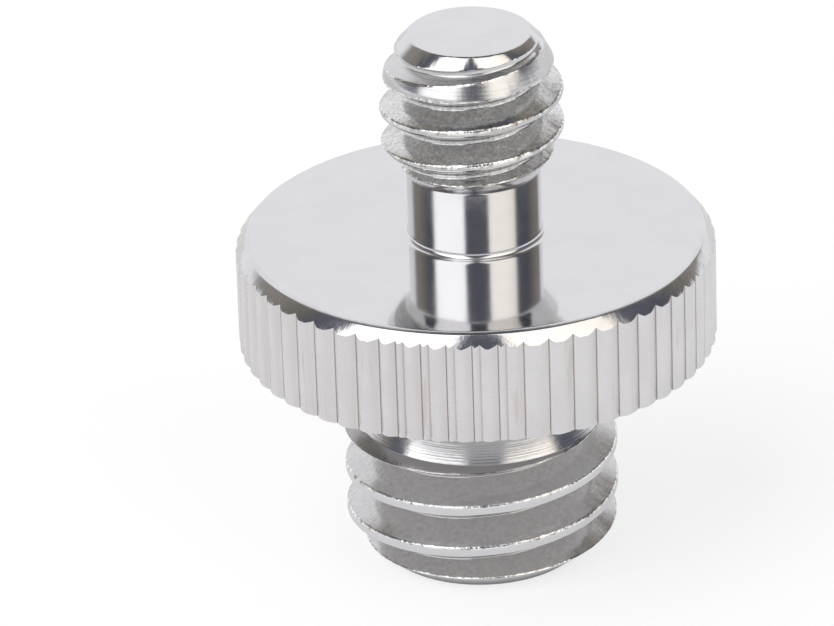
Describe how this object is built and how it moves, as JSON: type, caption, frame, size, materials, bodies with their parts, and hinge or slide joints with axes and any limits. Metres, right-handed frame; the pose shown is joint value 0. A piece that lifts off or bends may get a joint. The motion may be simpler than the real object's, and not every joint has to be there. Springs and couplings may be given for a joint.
{
  "type": "tripod thread adapter",
  "caption": "Plated steel screw adapter: a larger male thread below and a smaller one above, with a knurled flange between to turn it by.",
  "frame": {"origin": "centre of the lower screw's end face, which the part stands on", "axes": "+Z along the common axis of both screws, from the larger screw up to the smaller one; the knurled flange lies across it"},
  "size_m": [0.0164, 0.0164, 0.0194],
  "materials": {
    "plated_steel": "bright nickel plate over turned and knurled steel"
  },
  "bodies": {
    "root": {"adapter_body": "plated_steel"}
  },
  "joints": []
}
